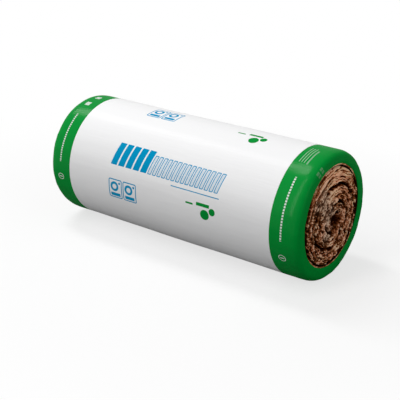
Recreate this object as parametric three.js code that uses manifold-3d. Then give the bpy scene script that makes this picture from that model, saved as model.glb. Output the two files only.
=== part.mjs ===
// A roll of glass wool insulation in its film sleeve, lying on its side.
//
// Millimetres, +Z up. The roll's axis runs along X, and the origin is on the floor under the middle of the
// roll. It has two pieces: the blanket, which is rolled up tight into one turned solid with its bore, and
// the film, which is shrunk round it and turned in over both ends.

import * as THREE from 'three';
import { mergeVertices } from 'three/addons/utils/BufferGeometryUtils.js';
import Module from 'manifold-3d';

const wasm = await Module();
wasm.setup();

// ---- Driving dimensions ------------------------------------------------------------------------------

const rollLength = 1200;        // over the film's two ends: the width of the blanket
const rollRadius = 247;         // over the film
const facets = 64;              // flat strips round everything that is turned

const filmWall = 1;             // stands in for a film of 0.08
const clearance = 0.3;          // between the film and the wool
const shoulderReach = 36;       // length of the rounded shoulder along the roll
const shoulderDrop = 31;        // how far the shoulder comes in from the barrel
const landWidth = 12;           // flat ring of film inside each shoulder
const openingRadius = 190;      // bare wool in the middle of each end
const lipDepth = 5;             // how far the film's edge is turned in

const woolSetback = 1;          // from the film's land down to the ends of the turns
const stripWidth = 3;           // ring of wool that stands up along the film's edge
const creviceDepth = 10;        // below that ring, where the film cuts in
const turnThickness = 62;       // one thickness of the blanket, rolled up
const turnSkew = 0.9;           // 0 steps in evenly all the way round, 1 mostly on one side
const turnCrown = 13;           // width over which a turn rounds off at its end
const gapDepth = 24;            // from the ends of the turns to the bottom of the gap between them
const gapFloor = 3;             // width of the gap at its bottom
const boreRadius = 24;          // what the first turn leaves open
const boreAcross = 22;          // the bore's place beside the roll's axis, towards +Y
const boreUp = -10;             // and above it

const shoulderSteps = 5;
const lipSteps = 2;
const crownSteps = 3;
const gapSteps = 160;
const overcut = 10;             // how far a cut starts outside what it cuts

// ---- Places that follow from them --------------------------------------------------------------------

const halfLength = rollLength / 2;
const axisHeight = rollRadius * Math.cos(Math.PI / facets);     // the lowest strip lies on the floor
const landOuterRadius = rollRadius - shoulderDrop;
const landInnerRadius = landOuterRadius - landWidth;
const filmEdge = halfLength - lipDepth;
const stripTop = filmEdge - clearance;
const woolEnd = halfLength - woolSetback;
const creviceRadius = openingRadius - stripWidth;
const turnsRadius = creviceRadius - gapFloor;

// ---- Profiles: x is the radius, y runs along the roll -------------------------------------------------

// A quarter of an ellipse, from level with its centre along the roll to straight beyond it.
function quarter(centreRadius, centreAlong, reachAcross, reachAlong, steps) {
  const points = [];
  for (let i = 0; i <= steps; i++) {
    const angle = i / steps * Math.PI / 2;
    points.push(new THREE.Vector2(
      centreRadius + reachAcross * Math.cos(angle),
      centreAlong + reachAlong * Math.sin(angle)
    ));
  }
  return points;
}

// Half of the film's line, from the barrel round the shoulder and over the land to the film's edge. An
// inset of 0 gives the outer face, and the faces under it are the same line moved in.
function filmLine(inset) {
  const shoulder = quarter(
    landOuterRadius, halfLength - shoulderReach, shoulderDrop - inset, shoulderReach - inset, shoulderSteps
  );
  const lip = quarter(
    landInnerRadius, filmEdge, openingRadius + inset - landInnerRadius, lipDepth - inset, lipSteps
  );
  return [...shoulder, ...lip.reverse()];
}

// Half of the wool's line: close under the film, down the crevice along the film's edge, and over the ends
// of the turns to the axis.
function woolLine() {
  const inset = filmWall + clearance;
  const underFilm = filmLine(inset);
  const strip = [
    new THREE.Vector2(openingRadius + inset, stripTop),
    new THREE.Vector2(creviceRadius, stripTop),
    new THREE.Vector2(creviceRadius, stripTop - creviceDepth),
  ];
  const crown = quarter(
    turnsRadius - turnCrown, stripTop - creviceDepth,
    turnCrown, woolEnd - stripTop + creviceDepth, crownSteps
  );
  return [...underFilm, ...strip, ...crown, new THREE.Vector2(0, woolEnd)];
}

// Half of the bore's line, which opens out over the rounded crown of the first turn.
function boreLine() {
  const crown = quarter(boreRadius + turnCrown, woolEnd - gapDepth, -turnCrown, gapDepth, crownSteps);
  const mouth = woolEnd + overcut;
  return [...crown, new THREE.Vector2(boreRadius + turnCrown, mouth), new THREE.Vector2(0, mouth)];
}

// Carries half a line on over the other half of the roll, from the -X end to the +X end.
function wholeLine(half) {
  const otherHalf = half.map((point) => new THREE.Vector2(point.x, -point.y));
  return [...otherHalf.reverse(), ...half];
}

// Turns a profile round the roll's axis, with the middle of a flat strip at the bottom.
function turned(profile) {
  return new THREE.LatheGeometry(profile, facets, Math.PI / facets).rotateZ(-Math.PI / 2);
}

// ---- The gap between the turns ------------------------------------------------------------------------

// The line that the blanket's face draws on an end. Seen from +X it comes out from under the film on the
// upper right and winds anticlockwise into the bore. The angle is how far round it has come, from the
// left. On each turn the radius falls by turnThickness, and turnSkew makes it fall mostly on the right.
// The centre of the turns moves from the roll's axis to the bore's as they go in.
class TurnLine extends THREE.Curve {
  constructor() {
    super();
    this.arcLengthDivisions = 1000;
    this.start = -0.8 * Math.PI;
    this.end = 2 * Math.PI * (turnsRadius - boreRadius) / turnThickness;
  }

  getPoint(t, target = new THREE.Vector3()) {
    const angle = THREE.MathUtils.lerp(this.start, this.end, t);
    const fall = turnThickness * (angle - turnSkew * Math.sin(angle)) / (2 * Math.PI);
    const radius = turnsRadius - fall;
    const share = Math.max(0, fall / (turnsRadius - boreRadius));
    return target.set(
      0,
      share * boreAcross - radius * Math.cos(angle),
      share * boreUp - radius * Math.sin(angle)
    );
  }
}

// What is missing between two turns on one end, where side is 1 for the +X end and -1 for the other. Its
// section is narrow at the bottom and opens upwards over the rounded crowns of both turns.
function turnGap(side) {
  const halfFloor = gapFloor / 2;
  const crown = quarter(halfFloor + turnCrown, gapDepth, -turnCrown, -gapDepth, crownSteps);
  const oneSide = [...crown, new THREE.Vector2(halfFloor + turnCrown, -overcut)];
  const otherSide = oneSide.map((point) => new THREE.Vector2(-point.x, point.y));
  const outline = [...oneSide, ...otherSide.reverse()];
  const section = new THREE.Shape(outline.map((point) => new THREE.Vector2(side * point.y, point.x)));
  const gap = new THREE.ExtrudeGeometry(section, { steps: gapSteps, extrudePath: new TurnLine() });
  return gap.translate(side * woolEnd, 0, 0);
}

// ---- Cutting ------------------------------------------------------------------------------------------

function toSolid(geometry) {
  const bare = geometry.clone();
  bare.deleteAttribute('normal');
  bare.deleteAttribute('uv');
  const merged = mergeVertices(bare, 1e-3);
  const corners = merged.index.array;
  const triangles = [];
  for (let i = 0; i < corners.length; i += 3) {
    const triangle = corners.slice(i, i + 3);
    const pinchedOnAxis = new Set(triangle).size < 3;
    if (!pinchedOnAxis) triangles.push(...triangle);
  }
  return new wasm.Manifold(new wasm.Mesh({
    numProp: 3,
    vertProperties: Float32Array.from(merged.attributes.position.array),
    triVerts: Uint32Array.from(triangles),
  }));
}

function toGeometry(solid) {
  const mesh = solid.getMesh();
  const geometry = new THREE.BufferGeometry();
  geometry.setAttribute('position', new THREE.BufferAttribute(mesh.vertProperties, 3));
  geometry.setIndex(new THREE.BufferAttribute(mesh.triVerts, 1));
  geometry.computeVertexNormals();
  return geometry;
}

// ---- Pieces -------------------------------------------------------------------------------------------

function filmSleeve() {
  const outerFace = wholeLine(filmLine(0));
  const innerFace = wholeLine(filmLine(filmWall));
  return turned([...outerFace, ...innerFace.reverse(), outerFace[0].clone()]);
}

// The turned blanket, less its bore, and less the gap between its turns on both ends, which stops at the
// strip of wool along the film's edge.
function woolRoll() {
  const insideStrip = new THREE.CylinderGeometry(
    creviceRadius, creviceRadius, rollLength + 2 * overcut, facets, 1, false, Math.PI / facets
  );
  const reach = toSolid(insideStrip.rotateZ(-Math.PI / 2));
  const bore = turned(wholeLine(boreLine())).translate(0, boreAcross, boreUp);
  let wool = toSolid(turned(wholeLine(woolLine()))).subtract(toSolid(bore));
  for (const side of [1, -1]) {
    wool = wool.subtract(toSolid(turnGap(side)).intersect(reach));
  }
  return toGeometry(wool);
}

const filmMaterial = new THREE.MeshStandardMaterial({ color: 0xe9eaec, roughness: 0.45, metalness: 0 });
const woolMaterial = new THREE.MeshStandardMaterial({ color: 0x8a5a3c, roughness: 1, metalness: 0 });

const roll = new THREE.Group();
const pieces = {
  film_sleeve: new THREE.Mesh(filmSleeve(), filmMaterial),
  wool_roll: new THREE.Mesh(woolRoll(), woolMaterial),
};
for (const [name, mesh] of Object.entries(pieces)) {
  mesh.name = name;
  mesh.position.z = axisHeight;
  roll.add(mesh);
}

export default roll;
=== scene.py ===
"""An insulation roll lying on a pale studio floor.

A blanket of brown glass wool is rolled up tight in one piece of plastic film, which is white with
a green band over each end and is turned in over both ends. Metres, +Z up, and the roll's axis runs
along X.
"""

import math

import bpy
import numpy as np
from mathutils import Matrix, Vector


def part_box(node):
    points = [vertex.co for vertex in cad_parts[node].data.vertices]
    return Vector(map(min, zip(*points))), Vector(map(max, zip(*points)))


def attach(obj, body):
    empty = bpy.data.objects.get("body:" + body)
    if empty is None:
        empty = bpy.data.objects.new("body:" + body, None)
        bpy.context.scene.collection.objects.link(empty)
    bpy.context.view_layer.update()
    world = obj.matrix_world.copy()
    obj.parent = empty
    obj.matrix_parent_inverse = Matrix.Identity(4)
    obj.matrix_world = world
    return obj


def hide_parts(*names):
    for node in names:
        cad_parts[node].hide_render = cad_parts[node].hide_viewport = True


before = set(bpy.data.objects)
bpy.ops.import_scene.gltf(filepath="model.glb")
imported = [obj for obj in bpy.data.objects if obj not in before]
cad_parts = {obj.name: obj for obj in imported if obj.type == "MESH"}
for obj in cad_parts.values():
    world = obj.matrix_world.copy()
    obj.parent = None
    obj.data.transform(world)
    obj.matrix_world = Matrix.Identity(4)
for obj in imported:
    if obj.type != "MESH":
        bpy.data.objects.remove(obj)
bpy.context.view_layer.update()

TAU = 2 * math.pi

# ---- Sizes, in metres ---------------------------------------------------------------------------

film_low, film_high = (np.array(corner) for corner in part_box("film_sleeve"))
HALF_LENGTH = film_high[0]
ROLL_RADIUS = (film_high[2] - film_low[2]) / 2
AXIS_HEIGHT = (film_high[2] + film_low[2]) / 2

FILM_WALL = 0.0006
SHOULDER_REACH = 0.050          # along the roll
SHOULDER_DROP = 0.038           # in from the barrel
SHOULDER_POWER = 2.85           # 2 would be an ellipse; this turns in more gently at both ends
LAND_WIDTH = 0.005              # the flat ring inside the shoulder
OPENING_RADIUS = 0.190
LIP_DEPTH = 0.005               # how far the film's edge is turned in
BAND_WIDTH = 0.115              # green print, from each end
END_FACE = (0.578, 0.594)       # along the film's line from its middle: where the end starts
RIM_RISE = 0.011                # how far the film's edge has crept up at the top
RIM_RISE_SPAN = (               # the radii at which the rise starts, is full and has gone again
    0.120, 0.184, 0.194, ROLL_RADIUS - 0.027,
)
LAP_ANGLE = math.radians(205)   # where the film's lap starts, round the back
LAP_WIDTH = 0.290               # as an angle
LAP_STEP = 0.0005
PLEAT_HEIGHT = 0.0004
RAGGED_HEIGHT = 0.0014          # of the film's edge, in and out
FLOOR_GAP = 0.0002              # the least height of the film over the floor

WOOL_DEPTH = 0.0016             # how far the wool lies under the film's outer face
WOOL_RADIUS = ROLL_RADIUS - WOOL_DEPTH
WOOL_END = HALF_LENGTH - 0.001
TURNS_DEPTH = 0.003             # how far the turns stand back from there
LIP_GAP = 0.0003                # between the film's edge and the wool under it
CREVICE_RADIUS = 0.1845         # where the film's edge cuts in
CREVICE_WIDTH = 0.004
CREVICE_DEPTH = 0.026
CREVICE_CROWN = 0.006           # width over which the turns round off into the crevice
TURN = 0.0695                   # one thickness of the blanket, rolled up
TURN_SKEW = 1.35                # how much of the step from turn to turn comes at one place
TURN_SKEW_ANGLE = math.radians(-15)
TURNS_RADIUS = 0.188            # where the line between the turns starts, without its skew
TAIL_ANGLE = -10.4              # where the outer end of the blanket runs out, under the film
BARE_ANGLE = -5.0               # where the blanket starts to come out from under the film
GRAIN_START = 0.368             # slides the grain along the blanket
TURN_CROWN = 0.010              # width over which a turn rounds off at its end
TURN_OVERLAP = 0.0004           # how far a turn goes into the next, so that no slit is left
GAP_DEPTH = 0.030               # between one turn and the next
GAP_WIDTH = 0.004
THIN = 0.030                    # the thickness below which the blanket's gap is shallower
BORE_RADIUS = 0.020
BORE_PLACE = np.array([0.022, -0.010])      # from the roll's axis, along Y and Z
BORE_OVAL = 0.35                # how much the bore is longer one way than across it
BORE_OVAL_ANGLE = math.radians(30)
LOOSE_SPOTS = [                 # where the cut edge of the +X end is fluffed up: y, z and radius
    (-0.060, 0.092, 0.048), (-0.100, 0.070, 0.040), (-0.024, 0.020, 0.064),
    (-0.060, 0.055, 0.045), (-0.034, -0.062, 0.044),
]
HOLLOWS = [                     # where that edge is sunk in, likewise
    (0.002, -0.058, 0.021), (0.022, -0.045, 0.028), (0.048, -0.028, 0.029),
]
HOLLOW_DEPTH = 0.034

# How finely the pieces are divided.
BARREL_STEPS = 31               # from the middle of the film to its shoulder
SHOULDER_STEPS = 26
LAND_STEPS = 3                  # across the flat ring
LIP_STEPS = 8
FILM_AROUND = 288
COVERED_ROWS = 70               # along the blanket where the film covers it
BARE_ROWS = 840
WOOL_ACROSS = 54                # through the blanket's thickness

# ---- Surfaces -----------------------------------------------------------------------------------

NOISE_SIZE = 512


def value_noise(u, v, seed, around=NOISE_SIZE):
    """Random heights from -1 to 1 at the whole numbers of a (u, v) plane, eased into each other by
    3t² - 2t³ in both directions. They repeat after NOISE_SIZE along u and after around along v."""
    table = np.random.default_rng(seed).uniform(-1, 1, (NOISE_SIZE, NOISE_SIZE))
    u, v = np.broadcast_arrays(u, v)
    row, column = np.floor(u).astype(int), np.floor(v).astype(int)
    s, t = u - row, v - column
    s, t = s * s * (3 - 2 * s), t * t * (3 - 2 * t)

    def corner(i, j):
        return table[(row + i) % NOISE_SIZE, (column + j) % around]

    near = corner(0, 0) * (1 - s) + corner(1, 0) * s
    far = corner(0, 1) * (1 - s) + corner(1, 1) * s
    return near * (1 - t) + far * t


def eased(low, high, value):
    """0 below low, 1 above high, and 3t² - 2t³ between them."""
    t = np.clip((value - low) / (high - low), 0, 1)
    return t * t * (3 - 2 * t)


def blended(first, second, share):
    """The number that lies share of the way from the first to the second."""
    return first + (second - first) * share


def edge_drop(share):
    """How far down a rounded edge is: 1 at its foot, 0 on its top and a quarter of an ellipse
    between them, where share says how far in from the foot a point lies."""
    return 1 - np.sqrt(1 - (1 - share) ** 2)


def walked(points):
    """How far along a line of points each of them is."""
    return np.concatenate([[0], np.cumsum(np.linalg.norm(np.diff(points, axis=0), axis=1))])


def quarter(centre, reach, steps, power=2):
    """A quarter turn as (radius, along) points, evenly spaced: centre + reach * (cos a, sin a) ^
    (2 / power) for a from 0 to 90°, which is a quarter of an ellipse where the power is 2."""
    angle = np.linspace(0, math.pi / 2, 40 * steps + 1)[:, None]
    turn = np.clip(np.hstack([np.cos(angle), np.sin(angle)]), 0, 1) ** (2 / power)
    points = np.array(centre) + np.array(reach) * turn
    length = walked(points)
    even = np.linspace(0, length[-1], steps + 1)
    return np.stack([np.interp(even, length, column) for column in points.T], axis=1)


def grid_piece(name, points, flat_map, round_rows=True, fields=None):
    """A mesh over a grid of points with shape (rows, columns, 3), four-sided between neighbours.
    Its last column is joined to its first and its last row to its first. Where round_rows is
    False, the first and the last row are each filled in instead, between their two halves.
    flat_map has one more row and column than the points, and holds each corner's place on the
    piece laid out flat."""
    rows, columns = points.shape[:2]
    i, j = (index.ravel() for index in np.indices((rows if round_rows else rows - 1, columns)))
    corners = [(i, j), (i + 1, j), (i + 1, j + 1), (i, j + 1)]
    if not round_rows:
        # Faces across the first and the last row, from its k-th point to its k-th from the end.
        k = np.arange(columns // 2 - 1)
        across = [k, k + 1, columns - 2 - k, columns - 1 - k]
        corners = [
            (np.concatenate([a, 0 * k, 0 * k + rows - 1]), np.concatenate([b, first, last]))
            for (a, b), first, last in zip(corners, across, across[::-1])
        ]
    faces = np.stack([(a % rows) * columns + b % columns for a, b in corners], axis=1)
    mesh = bpy.data.meshes.new(name)
    mesh.from_pydata(points.reshape(-1, 3), [], faces)
    layer = mesh.uv_layers.new(name=name)
    places = np.stack([flat_map[a, b] for a, b in corners], axis=1)
    layer.uv.foreach_set("vector", places.astype(np.float32).ravel())
    for field, values in (fields or {}).items():
        attribute = mesh.attributes.new(field, "FLOAT", "POINT")
        attribute.data.foreach_set("value", values.astype(np.float32).ravel())
    mesh.shade_smooth()
    mesh.update()
    piece = bpy.data.objects.new(name, mesh)
    bpy.context.collection.objects.link(piece)
    return piece


# ---- The film -----------------------------------------------------------------------------------

def film_line(inset):
    """The film's line from edge to edge as (radius, along) points: the turned in lip, the flat
    land and the rounded shoulder of one end, the straight barrel, and the same back to the other
    edge. It lies this inset inside the film's outer face."""
    land_outer = ROLL_RADIUS - SHOULDER_DROP
    land_inner = land_outer - LAND_WIDTH
    shoulder = quarter(
        centre=(land_outer, HALF_LENGTH - SHOULDER_REACH),
        reach=(SHOULDER_DROP - inset, SHOULDER_REACH - inset),
        steps=SHOULDER_STEPS,
        power=SHOULDER_POWER,
    )
    lip = quarter(
        centre=(land_inner, HALF_LENGTH - LIP_DEPTH),
        reach=(OPENING_RADIUS + inset - land_inner, LIP_DEPTH - inset),
        steps=LIP_STEPS,
    )
    land = np.linspace(shoulder[-1], lip[-1], LAND_STEPS + 1)[1:-1]
    barrel = np.linspace(0, shoulder[0, 1], BARREL_STEPS + 1)[:-1]
    barrel = np.stack([np.full_like(barrel, ROLL_RADIUS - inset), barrel], axis=1)
    half = np.vstack([barrel, shoulder, land, lip[::-1]])
    return np.vstack([half[:0:-1] * [1, -1], half])


def rim_rise(y, z):
    """How much further from the axis a point on an end is than on a true roll, because the film's
    edge has crept up at the top: RIM_RISE times the square of the upward share of the direction,
    easing to none at the first and the last radius of RIM_RISE_SPAN."""
    start, full, still_full, stop = RIM_RISE_SPAN
    radius = np.maximum(np.hypot(y, z), 0.001)
    upward = np.clip(z / radius, 0, 1) ** 2
    near_edge = eased(start, full, radius) * eased(stop, still_full, radius)
    return RIM_RISE * upward * near_edge


def film_sleeve():
    """The film as a surface turned round X: point(i, j) is the i-th point of its line at angle j,
    pushed out along the line's own normal by slow swells, short pleats over the shoulders where it
    has shrunk, and the step of its lap along the back. Its edge is a little ragged and follows
    rim_rise. The inner face is the same line a wall's thickness in."""
    outer = film_line(0)
    length = walked(outer)
    length -= length[-1] / 2
    slope = np.gradient(outer, axis=0)
    slope /= np.linalg.norm(slope, axis=1, keepdims=True)
    normal = np.stack([slope[:, 1], -slope[:, 0]], axis=1)
    s, a = length[:, None], TAU * np.arange(FILM_AROUND)[None, :] / FILM_AROUND

    def waves(long, number, seed, start=0):
        """Noise this long along the film's line, and this many times round the roll."""
        return value_noise(s / long + start, a / TAU * number, seed, number)

    swell = 0.0007 * waves(long=0.23, number=7, seed=11, start=40)
    swell = swell + 0.0003 * waves(long=0.09, number=19, seed=12, start=40)
    past_barrel = eased(-0.09, 0.0, np.abs(outer[:, 1:]) - (HALF_LENGTH - SHOULDER_REACH))
    pleats = 1.6 * waves(long=0.06, number=36, seed=13, start=30)
    pleats = pleats + waves(long=0.04, number=90, seed=14)
    from_lap = a - LAP_ANGLE
    lap = eased(0, 0.004, from_lap) * eased(LAP_WIDTH + 0.01, LAP_WIDTH - 0.01, from_lap)
    push = swell + past_barrel * PLEAT_HEIGHT * pleats + LAP_STEP * lap
    near_edge = eased(OPENING_RADIUS + 0.014, OPENING_RADIUS, outer[:, :1])
    ragged = near_edge * RAGGED_HEIGHT * waves(long=math.inf, number=21, seed=15)

    faces = []
    for inset in (0, FILM_WALL):
        line = outer - normal * inset
        radius = line[:, :1] + normal[:, :1] * push + ragged
        radius = radius + rim_rise(-line[:, :1] * np.cos(a), line[:, :1] * np.sin(a))
        along = line[:, 1:] + normal[:, 1:] * push
        up = np.maximum(AXIS_HEIGHT + radius * np.sin(a), FLOOR_GAP + inset)
        faces.append(np.stack([along + 0 * a, -radius * np.cos(a), up], axis=2))
    points = np.concatenate([faces[0], faces[1][::-1]])

    # Laid out flat, the inner face lies 3 m along from the outer one.
    across = np.concatenate([length, length[::-1] + 3, length[:1] + 6])
    turn = ROLL_RADIUS * TAU * np.arange(FILM_AROUND + 1) / FILM_AROUND
    flat_map = np.stack(np.meshgrid(across, turn, indexing="ij"), axis=2)
    return grid_piece("film", points, flat_map)


# ---- The wool -----------------------------------------------------------------------------------

def turn_line(angle):
    """Where one turn meets the next on an end, as (y, z) from the roll's axis. The radius falls by
    one TURN each time round, mostly on the side that TURN_SKEW_ANGLE gives, and stays between the
    film's and the bore's. Short noise roughens it, away from both of them. As it falls, its centre
    moves over to the bore's, and the innermost part is drawn out into an oval."""
    fall = TURN / TAU * (angle - TURN_SKEW * np.sin(angle - TURN_SKEW_ANGLE))
    radius = TURNS_RADIUS - fall
    loose = eased(WOOL_RADIUS, CREVICE_RADIUS - 0.01, radius) * eased(0.01, 0.05, radius)
    rough = 0.0030 * value_noise(angle * 5, 0, 31) + 0.0018 * value_noise(angle * 13, 0, 32)
    radius = np.clip(radius + loose * rough, BORE_RADIUS, WOOL_RADIUS)
    share = np.clip((TURNS_RADIUS - radius) / (TURNS_RADIUS - BORE_RADIUS), 0, 1)
    radius = radius * (1 + BORE_OVAL * share ** 3 * np.cos(2 * (angle - BORE_OVAL_ANGLE)))
    direction = np.stack([np.cos(angle), np.sin(angle)], axis=-1)
    return share[..., None] * BORE_PLACE - radius[..., None] * direction


def wound_angles():
    """The angles along turn_line at which the blanket is cut into rows, from its tail to the bore:
    even in angle under the film, and even along the middle of the blanket from there on."""
    bore_end = TAU * (TURNS_RADIUS - BORE_RADIUS) / TURN
    covered = np.linspace(TAIL_ANGLE, BARE_ANGLE, COVERED_ROWS, endpoint=False)
    dense = np.linspace(BARE_ANGLE, bore_end, 4000)
    length = walked((turn_line(dense) + turn_line(dense + TAU)) / 2)
    bare = np.interp(np.linspace(0, length[-1], BARE_ROWS), length, dense)
    return np.concatenate([covered, bare])


def wool_end_line(radius):
    """How far along the roll the wool reaches at a radius: close under the film, down the crevice
    that the film's edge presses in, and level over the turns, which are rounded off by edge_drop
    beside the crevice."""
    under_film = film_line(WOOL_DEPTH)
    half = under_film[under_film[:, 1] > HALF_LENGTH - SHOULDER_REACH][::-1]
    covered = np.interp(radius, half[:, 0], half[:, 1])
    strip = np.minimum(covered, HALF_LENGTH - LIP_DEPTH - LIP_GAP)
    crown = np.clip((CREVICE_RADIUS - CREVICE_WIDTH - radius) / CREVICE_CROWN, 0, 1)
    turns = WOOL_END - TURNS_DEPTH - CREVICE_DEPTH * edge_drop(crown)
    return np.where(radius > CREVICE_RADIUS, strip, turns)


def soft_spots(y, z, spots):
    """How far inside any of some round spots each point lies: 1 at a centre, 0 from its radius on,
    by 3t² - 2t³. A spot is (y, z, radius)."""
    inside = [
        eased(1, 0, np.hypot(y - spot_y, z - spot_z) / radius) for spot_y, spot_z, radius in spots
    ]
    return np.max(inside, axis=0)


def wool_relief(s, q, y, z, seed, worn):
    """The relief of the wool's cut edge: s runs along the blanket and q through its thickness. Its
    layers are noise drawn out along s, broad and fine, with torn places and slow lumps added.
    Slower noise shifts q first, so that the layers wander and crimp. Along the top they lie calm:
    each amount is blended over to a second one there, with longer layers and nothing torn. On a
    worn end, the broad layers give way to round curls where the wool is loose, and it sinks in at
    the hollows. Also gives how pale each point is, which is little in a hollow, where shade is
    painted, and how loose."""
    radius = np.maximum(np.hypot(y, z), 0.001)
    upward, sideways = z / radius, y / radius
    outer = eased(0.060, 0.110, radius)
    calm = eased(0.35, 0.85, upward) * outer

    def grain(through, long, thick, kind):
        """Noise this long along the blanket and this thick through it."""
        return value_noise(s / long, through / thick, seed + kind)

    def mottle(wide, high, kind):
        """Noise this wide and high on the end."""
        return value_noise((y + 1) / wide, (z + 1) / high, seed + kind)

    wander = 0.0070 * grain(q, 0.080, 0.030, 0)
    wander = wander + blended(0.0030, 0.0012, calm) * grain(q, 0.019, 0.014, 1)
    layer = q + wander
    broad = blended(grain(layer, 0.038, 0.0042, 2), grain(layer, 0.110, 0.0037, 8), calm)
    fine = blended(grain(layer, 0.015, 0.0024, 3), grain(layer, 0.045, 0.0023, 9), calm)
    fine = np.tanh(2.0 * fine)
    torn = mottle(0.0056, 0.0040, 4)
    lump = grain(q, 0.060, 0.021, 5)

    loose = soft_spots(y, z, LOOSE_SPOTS) * worn
    patchy = 0.35 * mottle(0.02, 0.02, 6) * (loose > 0)
    loose = np.clip(loose * 1.6 + patchy, 0, 1)
    curl = mottle(0.011, 0.011, 7)
    broad = np.tanh(blended(1.6, 1.3, calm) * blended(broad, curl, loose))
    hollow = soft_spots(y, z, HOLLOWS) * worn

    height = blended(0.0048, 0.0038, calm) * broad + blended(0.0026, 0.0046, calm) * fine
    height = height + blended(0.0016, 0, calm) * torn + 0.0026 * lump - HOLLOW_DEPTH * hollow
    level = blended(1.0, 0.65, calm) * broad + blended(0.8, 1.3, calm) * fine
    level = level + blended(1.1, 0.35, calm) * torn + 0.15 * lump
    pale = wool_paleness(level, upward, sideways, outer)
    # Painted shade: the wool is darkened in the hollows, where shade falls.
    return height, pale * (1 - 0.9 * np.clip(1.3 * hollow, 0, 1)), loose


def wool_paleness(level, upward, sideways, outer):
    """How pale each point of a cut edge is: 1 - (1 - share) ^ exp(2.6 paler), where share is the
    part of the edge whose level is lower. In the outer turns, paler is more than 0 towards the
    top, and less than 0 on both sides and most of all on the left."""
    share = np.argsort(np.argsort(level, axis=None)).reshape(level.shape) / level.size
    paler = 0.48 * np.clip(upward, 0, 1) ** 4 - 0.04 * sideways ** 2
    paler = paler - 0.12 * np.clip(-sideways, 0, 1) - 0.06 * np.clip(sideways - upward, 0, 1.4)
    return 1 - (1 - share) ** np.exp(2.6 * paler * outer)


def with_painted_shade(pale, y, z, from_face, bare, seed):
    """How pale an end looks where that much of it is pale, with painted shade. It is painted dark
    beside the gaps between the turns and in the crevice, as shade would fall there, up to a border
    that
    short noise pushes about: further from a gap at the upper right, and nearer the crevice along
    the top. The narrow strip of wool outside the crevice is of middle tone, and painted dark at
    both sides of the roll, where it lies in shade."""
    radius = np.hypot(y, z)
    wobble = 0.0035 * value_noise(y / 0.010 + 50, z / 0.010 + 50, seed)
    top = eased(-0.1, 0.6, z / np.maximum(radius, 0.001))
    top_right = top * eased(-0.05, 0.02, y)
    # Painted shade: dark beside the gaps between the turns, where shade falls.
    pale_from, dark_to = blended(0.0078, 0.0100, top_right), blended(0.0020, 0.0034, top_right)
    gap_shade = eased(pale_from, dark_to, from_face + wobble)
    # Painted shade: dark in the crevice that the film's edge presses in.
    pale_to, dark_from = blended(0.1750, 0.1790, top), blended(0.1800, 0.1830, top)
    crevice_shade = eased(pale_to, dark_from, radius + wobble)
    turns = pale * (1 - 0.9 * gap_shade) * (1 - 0.95 * crevice_shade) * bare
    strip = eased(CREVICE_RADIUS + 0.0008, CREVICE_RADIUS + 0.0020, radius)
    strip = strip * blended(0.45, 0.90, pale)
    # Painted shade on the strip at both sides of the roll.
    strip = strip * eased(0.96, 0.72, np.abs(y) / np.maximum(radius, 0.001))
    return np.clip(turns + strip, 0, 1)


def wool_end(side, place, s, q, from_face, thickness, seed, worn):
    """One end of the strip: as far out as wool_end_line, rounded off by edge_drop beside both
    faces, with wool_relief on it, and lifted by rim_rise. Gives its points, how pale each of them
    looks, with painted shade in the gaps, the crevice and the hollows, and how loose it is."""
    y, z = place[:, :, 0], place[:, :, 1]
    radius = np.hypot(y, z)
    half_gap = np.minimum(GAP_WIDTH, thickness / 6) / 2
    crown = np.clip((from_face - half_gap) / np.minimum(TURN_CROWN, thickness / 2), 0, 1)
    drop = GAP_DEPTH * np.clip(thickness / THIN, 0.2, 1) * edge_drop(crown)
    height, pale, loose = wool_relief(s, q, y, z, seed, worn)
    bare = eased(CREVICE_RADIUS + 0.0005, CREVICE_RADIUS - 0.0015, radius)
    along = wool_end_line(radius) - drop * bare + height * bare
    lift = 1 + rim_rise(y, z) / np.maximum(radius, 0.01)
    points = np.dstack([side * along, y * lift, AXIS_HEIGHT + z * lift])
    return points, with_painted_shade(pale, y, z, from_face, bare, seed + 9), loose


def wool_roll():
    """The blanket as one strip wound from its tail under the film to its first turn at the bore.
    Its section is carried along that path: over the +X end from the outer face to the inner one,
    back along the roll, and over the other end. The points of a section lie closer together
    towards its faces."""
    angle = wound_angles()
    outer, inner = turn_line(angle), turn_line(angle + TAU)
    s = GRAIN_START + walked((outer + inner) / 2)[:, None]
    thickness = np.linalg.norm(outer - inner, axis=1)[:, None]

    even = np.linspace(0, 1, WOOL_ACROSS)
    w = blended((1 - np.cos(math.pi * even)) / 2, even, 0.55)
    overlap = TURN_OVERLAP / np.maximum(thickness, 0.003)
    w_in = blended(-overlap, 1 + overlap, w)[:, :, None]
    place = blended(outer[:, None], inner[:, None], w_in)
    from_face = np.minimum(w, 1 - w) * thickness
    q = w * TURN + 0 * s

    near = wool_end(1, place, s, q, from_face, thickness, seed=100, worn=True)
    far = wool_end(-1, place, s, q, from_face, thickness, seed=200, worn=False)
    points, crest, loose = (
        np.concatenate([one, other[:, ::-1]], axis=1) for one, other in zip(near, far)
    )

    # Laid out flat, the far end lies 0.1 m across from the near one.
    v = np.concatenate([w * TURN, w[::-1] * TURN + 0.1, [0.2]])
    flat_map = np.dstack(np.broadcast_arrays(np.append(s, s[-1])[:, None], v[None, :]))
    # The first field holds how pale the wool is, with painted shade in its gaps, crevice and
    # hollows.
    fields = {"crest": crest, "loose": loose}
    return grid_piece("wool", points, flat_map, round_rows=False, fields=fields)


# ---- Materials ----------------------------------------------------------------------------------

PRINT_EDGE = 0.0005             # half the width over which ink fades out
RAY_KINDS = ("Camera", "Glossy", "Transmission")


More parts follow.
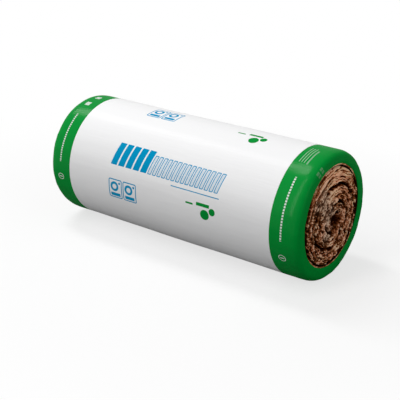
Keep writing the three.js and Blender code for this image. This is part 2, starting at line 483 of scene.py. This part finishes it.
class Wire:
    """A number in a shader. Arithmetic on it adds Math nodes and gives what comes out of them."""

    def __init__(self, paint, socket):
        self.paint = paint
        self.socket = socket

    def maths(self, operation, *values):
        settings = {"operation": operation}
        node = self.paint.node("ShaderNodeMath", settings, dict(enumerate(values)))
        return Wire(self.paint, node.outputs[0])

    def __add__(self, other):
        return self.maths("ADD", self, other)

    def __radd__(self, other):
        return self.maths("ADD", other, self)

    def __sub__(self, other):
        return self.maths("SUBTRACT", self, other)

    def __rsub__(self, other):
        return self.maths("SUBTRACT", other, self)

    def __mul__(self, other):
        return self.maths("MULTIPLY", self, other)

    def __rmul__(self, other):
        return self.maths("MULTIPLY", other, self)

    def __truediv__(self, other):
        return self.maths("DIVIDE", self, other)

    def __mod__(self, other):
        return self.maths("FLOORED_MODULO", self, other)

    def __pow__(self, other):
        return self.maths("POWER", self, other)

    def __abs__(self):
        return self.maths("ABSOLUTE", self)

    def at_least(self, other):
        return self.maths("MAXIMUM", self, other)

    def at_most(self, other):
        return self.maths("MINIMUM", self, other)

    def eased(self, low, high):
        """0 below low, 1 above high, smooth between; the other way round where low is larger."""
        settings = {"data_type": "FLOAT", "interpolation_type": "SMOOTHSTEP"}
        node = self.paint.node("ShaderNodeMapRange", settings, {0: self, 1: low, 2: high})
        return Wire(self.paint, node.outputs[0])

    def filled(self):
        """The inside of a shape in print, from how far a place is off it: 1 below 0, 0 above."""
        return self.eased(PRINT_EDGE, -PRINT_EDGE)

    def outlined(self, half_width):
        """The outline of a shape in print, from how far a place is off it."""
        return (abs(self) - half_width).filled()

    def between(self, low, high):
        """1 between two numbers and 0 outside, with an edge of print."""
        return (low - self).filled() * (self - high).filled()

    def spaced(self, step):
        """How far the number is from the middle of the step that it lies in."""
        return self % step - step / 2


class Paint:
    """The nodes of a material or of the world."""

    def __init__(self, block, shader="Principled BSDF"):
        block.use_nodes = True
        self.block = block
        self.nodes = block.node_tree.nodes
        self.links = block.node_tree.links
        self.shader = self.nodes[shader]

    def node(self, kind, settings, sockets):
        """Adds a node of one kind, with its settings first and then its sockets' values or links.
        The setting named stops is a ramp's list of places and colours."""
        node = self.nodes.new(kind)
        for name, value in settings.items():
            if name == "stops":
                elements = node.color_ramp.elements
                for place, shade in value[1:-1]:
                    elements.new(place).color = shade
                elements[0].color, elements[-1].color = value[0][1], value[-1][1]
            else:
                setattr(node, name, value)
        for name, value in sockets.items():
            self.feed(node, name, value)
        return node

    def feed(self, node, name, value):
        """Links a wire or a socket to one of a node's sockets, or sets it to a plain value."""
        if isinstance(value, Wire):
            value = value.socket
        if isinstance(value, bpy.types.NodeSocket):
            self.links.new(value, node.inputs[name])
        else:
            node.inputs[name].default_value = value

    def finish(self, **sockets):
        """Sets the main shader's sockets, named with underscores for spaces."""
        for name, value in sockets.items():
            self.feed(self.shader, name.replace("_", " "), value)
        return self.block

    def place(self):
        """The surface's own place in metres, as x, y and z."""
        coordinates = self.node("ShaderNodeTexCoord", {}, {})
        split = self.node("ShaderNodeSeparateXYZ", {}, {0: coordinates.outputs["Object"]})
        return [Wire(self, socket) for socket in split.outputs]

    def flat_place(self, name):
        """The place on the piece laid out flat, in metres, as two numbers."""
        layout = self.node("ShaderNodeUVMap", {"uv_map": name}, {})
        split = self.node("ShaderNodeSeparateXYZ", {}, {0: layout.outputs[0]})
        return [Wire(self, socket) for socket in split.outputs[:2]]

    def noise(self, x, y, z=0.0, detail=2.0, roughness=0.5):
        """Noise from 0 to 1, with about one wave to each whole step of x, y and z."""
        vector = self.node("ShaderNodeCombineXYZ", {}, {0: x, 1: y, 2: z}).outputs[0]
        sockets = {"Vector": vector, "Scale": 1.0, "Detail": detail, "Roughness": roughness}
        return Wire(self, self.node("ShaderNodeTexNoise", {}, sockets).outputs[0])

    def field(self, name):
        """The number that the mesh holds under that name."""
        attribute = self.node("ShaderNodeAttribute", {"attribute_name": name}, {})
        return Wire(self, attribute.outputs["Fac"])

    def mix(self, share, first, second, blend="MIX"):
        """The colour that lies share of the way from the first to the second, or with MULTIPLY
        from the first to their product."""
        settings = {"data_type": "RGBA", "blend_type": blend}
        return self.node("ShaderNodeMix", settings, {0: share, 6: first, 7: second}).outputs[2]

    def ramp(self, share, stops):
        """The colour at share on a ramp whose stops run from place 0 to place 1."""
        return self.node("ShaderNodeValToRGB", {"stops": stops}, {0: share}).outputs[0]

    def bump(self, height, distance, strength=1.0):
        sockets = {"Height": height, "Distance": distance, "Strength": strength}
        return self.node("ShaderNodeBump", {}, sockets).outputs[0]

    def rays(self):
        """Whether a ray comes straight from the camera, and whether by way of a gloss or glass."""
        path = self.node("ShaderNodeLightPath", {}, {}).outputs
        seen, gloss, glass = [Wire(self, path[f"Is {kind} Ray"]) for kind in RAY_KINDS]
        return seen, gloss.at_least(glass)


def colour(red, green, blue):
    return (red, green, blue, 1.0)


WHITE_LIGHT = colour(1.0, 1.0, 1.0)
WHITE_FILM = colour(0.86, 0.86, 0.865)
GREEN_INK = colour(0.0, 0.262, 0.034)
BLUE_INK = colour(0.0, 0.285, 0.530)


def off_box(x, y, half_width, half_height, corner):
    """How far a place is from the edge of a round-cornered box about 0: less than 0 inside."""
    over_x = (abs(x) - (half_width - corner)).at_least(0)
    over_y = (abs(y) - (half_height - corner)).at_least(0)
    return (over_x * over_x + over_y * over_y) ** 0.5 - corner


def off_ring(x, y, radius):
    """How far a place is from a circle about 0: less than 0 inside."""
    return (x * x + y * y) ** 0.5 - radius


def front_print(u, v):
    """The blue and the green print, as masks. u runs along the roll and v round it, up from the
    middle of the front. Two framed rings, each over a foot and beside a dot, and a group of discs
    and dashes repeat four times round the roll. Every other time they stand further along it, and
    the rest have a thin rule and a row of slanted bars over them, solid at first and then narrower
    outlines. The numbers of a shape are its place, half its size and the radius of its corners."""
    repeat, below = TAU * ROLL_RADIUS / 4, 0.070
    row = (v + below) % repeat - below
    odd = ((v + below) % (2 * repeat)).eased(repeat - 0.001, repeat + 0.001)
    u = u - 0.035 * odd

    bars_from, outlines_from, bars_to = -0.2625, -0.0750, 0.2625
    slanted = u - 0.23 * (row - 0.125)
    bar = off_box(slanted.spaced(0.0375), row - 0.130, 0.0152, 0.0460, 0.0020)
    solid = slanted.between(bars_from, outlines_from) * bar.filled()
    steps = (slanted - outlines_from).spaced(0.0225)
    bar = off_box(steps, row - 0.122, 0.0072, 0.0370, 0.0020)
    hollow = slanted.between(outlines_from, bars_to) * bar.outlined(0.0018)
    rule = off_box(u - 0.150, row - 0.066, 0.112, 0.0018, 0.0005).filled()

    frame_step = 0.073
    from_frames = u + 0.200
    frame_u = from_frames.spaced(frame_step)
    edge = off_box(frame_u, row + 0.012, 0.0320, 0.0380, 0.0060).outlined(0.0022)
    ring = off_ring(frame_u + 0.004, row + 0.003, 0.0155).outlined(0.0050)
    foot = off_box(frame_u, row + 0.0370, 0.0240, 0.0070, 0.0010).filled()
    dot = off_ring(frame_u - 0.021, row - 0.013, 0.0050).filled()
    frames = from_frames.between(-frame_step, frame_step) * (edge + ring + foot + dot)
    blue = ((solid + hollow + rule) * (1 - odd) + frames).at_most(1)

    u, row = u - 0.203 - 0.041 * odd, row + 0.009 + 0.040 * odd
    discs = off_ring(u, row, 0.0200).filled() + off_ring(u - 0.033, row - 0.018, 0.0140).filled()
    dashes = off_box(u + 0.010, row - 0.036, 0.0300, 0.0065, 0.0020).filled()
    dashes = dashes + off_box(u + 0.072, row - 0.030, 0.0170, 0.0035, 0.0020).filled()
    return blue, (discs + dashes).at_most(1)


def band_print(u, v):
    """The white print on the green bands, as a mask, twice round the roll: a line of dashes and a
    ring with a bar across it, a tenth smaller on the far band. Over them, the near band has a
    block of fine rules, a fainter strip beside it and four faint blocks on the shoulder, and the
    far band two blocks."""
    repeat, below = TAU * ROLL_RADIUS / 2, 0.140
    far = u.eased(0.001, -0.001)
    row = (v - 0.045 * far + below) % repeat - below
    line = abs(u) - 0.533 - 0.004 * far
    scaled = (row - 0.098) * (1 + 0.12 * far)
    dashes = off_box(line, scaled.spaced(0.0105), 0.0034, 0.0036, 0.0010).filled()
    dashes = dashes * off_box(line, scaled, 0.010, 0.120, 0.0010).filled()
    ring = off_ring(line, scaled + 0.193, 0.0140).outlined(0.0013)
    bar = off_box(line, scaled + 0.193, 0.0085, 0.0020, 0.0010).filled()
    rules = off_box(line.spaced(0.0105), row - 0.335, 0.0012, 0.050, 0.0005).filled()
    rules = rules * off_box(line + 0.01575, row - 0.335, 0.01575, 0.060, 0.0005).filled()
    strip = off_box(line - 0.0080, row - 0.325, 0.0030, 0.045, 0.0010).filled()
    block_u, block_row = abs(line - 0.072) - 0.006, abs(row - 0.274) - 0.013
    blocks = off_box(block_u, block_row, 0.0045, 0.0085, 0.0010).filled()
    near_over = rules * 0.50 + strip * 0.30 + blocks * 0.14
    block_row = abs(row - 0.308) - 0.032
    far_over = off_box(line - 0.002, block_row, 0.0120, 0.0120, 0.0020).filled() * 0.80
    return (dashes + ring + bar + near_over * (1 - far) + far_over * far).at_most(1)


def film_material():
    """Shiny white film with its green bands and its print, finely crinkled. The bands shine a
    little more than the rest, and the ends less."""
    paint = Paint(bpy.data.materials.new("printed film"))
    x, y, z = paint.place()
    u, v = paint.flat_place("film")
    band_from = HALF_LENGTH - BAND_WIDTH
    band = abs(x).eased(band_from - 0.0006, band_from + 0.0006)
    end = abs(u).eased(*END_FACE)
    blue_print, green_print = front_print(u, v)
    ground = paint.mix(blue_print, WHITE_FILM, BLUE_INK)
    ground = paint.mix(green_print, ground, GREEN_INK)
    printed_band = paint.mix(band_print(u, v) * 0.85, GREEN_INK, WHITE_FILM)
    grain = paint.noise(x * 9, y * 30, z * 30, detail=3)
    wrinkles = paint.noise(x * 2.5, y * 24, z * 24, detail=3, roughness=0.6)
    return paint.finish(
        Base_Color=paint.mix(band, ground, printed_band),
        Roughness=0.30 - 0.08 * band,
        Specular_IOR_Level=0.0,
        Coat_Weight=0.08 + 0.06 * band - 0.10 * end,
        Coat_Roughness=0.20,
        Normal=paint.bump(grain * 0.3 + wrinkles, 0.0028, 0.5),
    )


def wool_material():
    """Brown glass wool, and greyer where it is loose. It is as pale as the field on the mesh says,
    which holds painted shade in the gaps, the crevice and the hollows, with streaks and fuzz drawn
    out along the blanket that make it ragged, and with a few bright flecks that are painted
    glints.
    Patches of it are redder, and the upper right of each end is a little warmer."""
    paint = Paint(bpy.data.materials.new("brown glass wool"))
    s, q = paint.flat_place("wool")
    crest = paint.field("crest")
    loose = paint.field("loose")
    streak = paint.noise(s * 22, q * 320, detail=4, roughness=0.65)
    fuzz = paint.noise(s * 170, q * 300, detail=3, roughness=0.6)
    ragged = crest * 1.15 + (streak - 0.5) * 0.85 + (fuzz - 0.5) * 1.1 - 0.07
    # Painted glints: a few bright flecks where fibres would catch the light.
    glint_noise = paint.noise(s * 85, q * 210, 5.0, detail=2, roughness=0.5)
    painted_glint = (glint_noise + crest * 0.10).eased(0.68, 0.73)
    share = (ragged + painted_glint * 0.9) * (crest * 3 + 0.2).eased(0, 1)
    # The darkest stops give the painted shade of the gaps, the crevice and the hollows.
    brown = paint.ramp(share, [
        (0.00, colour(0.018, 0.0030, 0.0002)),
        (0.25, colour(0.062, 0.0125, 0.0022)),
        (0.53, colour(0.225, 0.070, 0.020)),
        (0.78, colour(0.600, 0.240, 0.105)),
        (1.00, colour(1.000, 0.705, 0.500)),
    ])
    grey = paint.ramp(share, [
        (0.00, colour(0.070, 0.024, 0.008)),
        (0.45, colour(0.215, 0.120, 0.070)),
        (1.00, colour(0.850, 0.650, 0.490)),
    ])
    reddish = paint.noise(s * 14, q * 70, 7.0, detail=1).eased(0.38, 0.56)
    tint = paint.mix(reddish, colour(0.98, 1.02, 0.97), colour(1.04, 0.91, 0.88))
    brown = paint.mix(1.0, brown, tint, "MULTIPLY")
    _, y, z = paint.place()
    warm = (y * 3.2 + (z - AXIS_HEIGHT) * 4.2).eased(0.0, 0.8)
    warmth = paint.mix(warm, WHITE_LIGHT, colour(1.06, 0.99, 0.90))
    return paint.finish(
        Base_Color=paint.mix(1.0, paint.mix(loose * 0.65, brown, grey), warmth, "MULTIPLY"),
        Roughness=1.0,
        Specular_IOR_Level=0.0,
        Normal=paint.bump(streak * 0.6 + fuzz * 0.4, 0.004, 0.8),
    )


# ---- Studio -------------------------------------------------------------------------------------

def studio_floor(half_size):
    """A wide pale floor. Near the roll it is lit and keeps the shadow, and further off it passes
    over to the white of the background. It is less pale for the light that it throws back up."""
    corners = [(x * half_size, y * half_size, 0) for x, y in ((-1, -1), (1, -1), (1, 1), (-1, 1))]
    mesh = bpy.data.meshes.new("floor")
    mesh.from_pydata(corners, [], [(0, 1, 2, 3)])
    floor = bpy.data.objects.new("floor", mesh)
    bpy.context.collection.objects.link(floor)
    paint = Paint(bpy.data.materials.new("pale floor"))
    seen, mirrored = paint.rays()
    dim, pale = colour(0.26, 0.26, 0.26), colour(0.88, 0.88, 0.88)
    floor.data.materials.append(
        paint.finish(Base_Color=paint.mix(seen, dim, pale), Roughness=0.9, Specular_IOR_Level=0.0)
    )
    x, y, _ = paint.place()
    away = (x * x / 1.6 + y * y).eased(0.35, 2.4)
    share = (away * 0.3 + 0.7) * seen + away * mirrored
    white = paint.node("ShaderNodeEmission", {}, {"Color": WHITE_LIGHT, "Strength": 1.0})
    both = {0: share, 1: paint.shader.outputs[0], 2: white.outputs[0]}
    mixed = paint.node("ShaderNodeMixShader", {}, both)
    paint.feed(paint.nodes["Material Output"], "Surface", mixed.outputs[0])


def studio_world(strength):
    """Even light all round, and plain white where the camera, a gloss or a glass looks past
    everything."""
    world = bpy.data.worlds.new("studio")
    bpy.context.scene.world = world
    paint = Paint(world, "Background")
    seen, mirrored = paint.rays()
    plain = seen.at_least(mirrored)
    paint.finish(Color=WHITE_LIGHT, Strength=strength + (1 - strength) * plain)


def soft_light(name, towards, distance, size, radiance):
    """A softbox that faces the middle of the roll from the direction given, evenly bright."""
    light = bpy.data.lights.new(name, "AREA")
    light.shape = "RECTANGLE"
    light.size, light.size_y = size
    light.energy = radiance * math.pi * size[0] * size[1]
    lamp = bpy.data.objects.new(name, light)
    bpy.context.collection.objects.link(lamp)
    direction = Vector(towards).normalized()
    lamp.location = Vector((0, 0, AXIS_HEIGHT)) + direction * distance
    lamp.rotation_euler = direction.to_track_quat("Z", "Y").to_euler()


def studio_camera(place, down, turned, lens):
    """A camera that looks along +Y, turned down and round +Z by the angles given in degrees."""
    camera = bpy.data.cameras.new("camera")
    camera.lens = lens
    camera.sensor_width = 36
    view = bpy.data.objects.new("camera", camera)
    view.location = place
    view.rotation_euler = (math.radians(90 - down), 0, math.radians(turned))
    bpy.context.collection.objects.link(view)
    bpy.context.scene.camera = view


# ---- The scene ----------------------------------------------------------------------------------

film = film_sleeve()
film.data.materials.append(film_material())
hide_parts("film_sleeve")

wool = wool_roll()
wool.data.materials.append(wool_material())
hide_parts("wool_roll")

for piece in (film, wool):
    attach(piece, "root")

studio_floor(half_size=14.0)
studio_world(strength=0.27)
soft_light(
    "long high softbox",
    towards=(-0.50, 0.09, 0.84), distance=9.0, size=(1.8, 5.6), radiance=12.6,
)
soft_light(
    "tall front softbox",
    towards=(-0.205, -0.71, 0.70), distance=9.0, size=(2.2, 12.0), radiance=5.6,
)
soft_light(
    "right softbox",
    towards=(0.93, -0.05, 0.35), distance=5.0, size=(2.5, 2.5), radiance=2.2,
)
studio_camera(place=(2.0986, -2.7522, 1.6053), down=22.60, turned=37.40, lens=84.13)
bpy.context.scene.view_settings.view_transform = "Standard"
